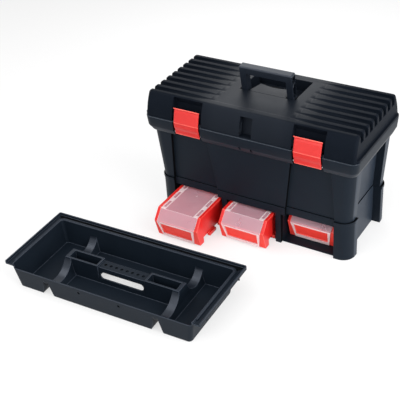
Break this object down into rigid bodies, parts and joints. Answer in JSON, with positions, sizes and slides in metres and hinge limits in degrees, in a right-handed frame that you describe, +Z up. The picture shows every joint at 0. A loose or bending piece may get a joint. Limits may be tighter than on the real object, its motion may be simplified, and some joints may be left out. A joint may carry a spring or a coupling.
{
  "type": "toolbox with tray",
  "caption": "Ribbed-lid plastic toolbox with folding handle and snap latches, on a rack of pull-out covered bins, with its lift-out tray beside it.",
  "frame": {"origin": "middle of the rack's underside, on the floor", "axes": "+X to the right along the box's front, +Y from the front to the hinge side, +Z up"},
  "size_m": [0.6698, 0.6426, 0.3861],
  "materials": {
    "black_polypropylene": "injection moulded, fine spark-eroded grain",
    "red_polypropylene": "injection moulded, polished tool",
    "clear_cover_plastic": "injection moulded, natural translucent",
    "zinc_plated_steel": "drawn and zinc plated"
  },
  "bodies": {
    "box": {"body_shell": "black_polypropylene", "base_rack": "black_polypropylene", "rack_screws": "zinc_plated_steel", "hinge_pin_left": "zinc_plated_steel", "hinge_pin_right": "zinc_plated_steel", "latch_pin_left": "zinc_plated_steel", "latch_pin_right": "zinc_plated_steel"},
    "lid": {"lid_shell": "black_polypropylene", "handle_pin_left": "zinc_plated_steel", "handle_pin_right": "zinc_plated_steel"},
    "handle": {"handle": "black_polypropylene"},
    "latch_left": {"latch_left": "red_polypropylene"},
    "latch_right": {"latch_right": "red_polypropylene"},
    "tray": {"tray": "black_polypropylene"},
    "bin_left": {"bin_left": "red_polypropylene"},
    "cover_left": {"cover_left": "clear_cover_plastic"},
    "bin_middle": {"bin_middle": "red_polypropylene"},
    "cover_middle": {"cover_middle": "clear_cover_plastic"},
    "bin_right": {"bin_right": "red_polypropylene"},
    "cover_right": {"cover_right": "clear_cover_plastic"}
  },
  "joints": [
    {"name": "lid_hinge", "type": "hinge", "parent": "box", "child": "lid", "pos_m": [0, 0.1286, 0.26615], "axis": [-1, 0, 0], "range_deg": [0, 100]},
    {"name": "handle_fold", "type": "hinge", "parent": "lid", "child": "handle", "pos_m": [0, 0, 0.309], "axis": [-1, 0, 0], "range_deg": [0, 99]},
    {"name": "latch_left_turn", "type": "hinge", "parent": "box", "child": "latch_left", "pos_m": [-0.15, -0.115, 0.2395], "axis": [1, 0, 0], "range_deg": [0, 110]},
    {"name": "latch_right_turn", "type": "hinge", "parent": "box", "child": "latch_right", "pos_m": [0.15, -0.115, 0.2395], "axis": [1, 0, 0], "range_deg": [0, 110]},
    {"name": "bin_left_slide", "type": "slide", "parent": "box", "child": "bin_left", "axis": [0, -1, 0], "range_m": [-0.133, 0.04]},
    {"name": "cover_left_slide", "type": "slide", "parent": "bin_left", "child": "cover_left", "axis": [0, -1, 0], "range_m": [0, 0.06]},
    {"name": "bin_middle_slide", "type": "slide", "parent": "box", "child": "bin_middle", "axis": [0, -1, 0], "range_m": [-0.076, 0.097]},
    {"name": "cover_middle_slide", "type": "slide", "parent": "bin_middle", "child": "cover_middle", "axis": [0, -1, 0], "range_m": [0, 0.06]},
    {"name": "bin_right_slide", "type": "slide", "parent": "box", "child": "bin_right", "axis": [0, -1, 0], "range_m": [0, 0.173]},
    {"name": "cover_right_slide", "type": "slide", "parent": "bin_right", "child": "cover_right", "axis": [0, -1, 0], "range_m": [0, 0.06]},
    {"name": "tray_lift", "type": "slide", "parent": "box", "child": "tray", "axis": [0, 0, 1], "range_m": [0, 0.3]}
  ]
}
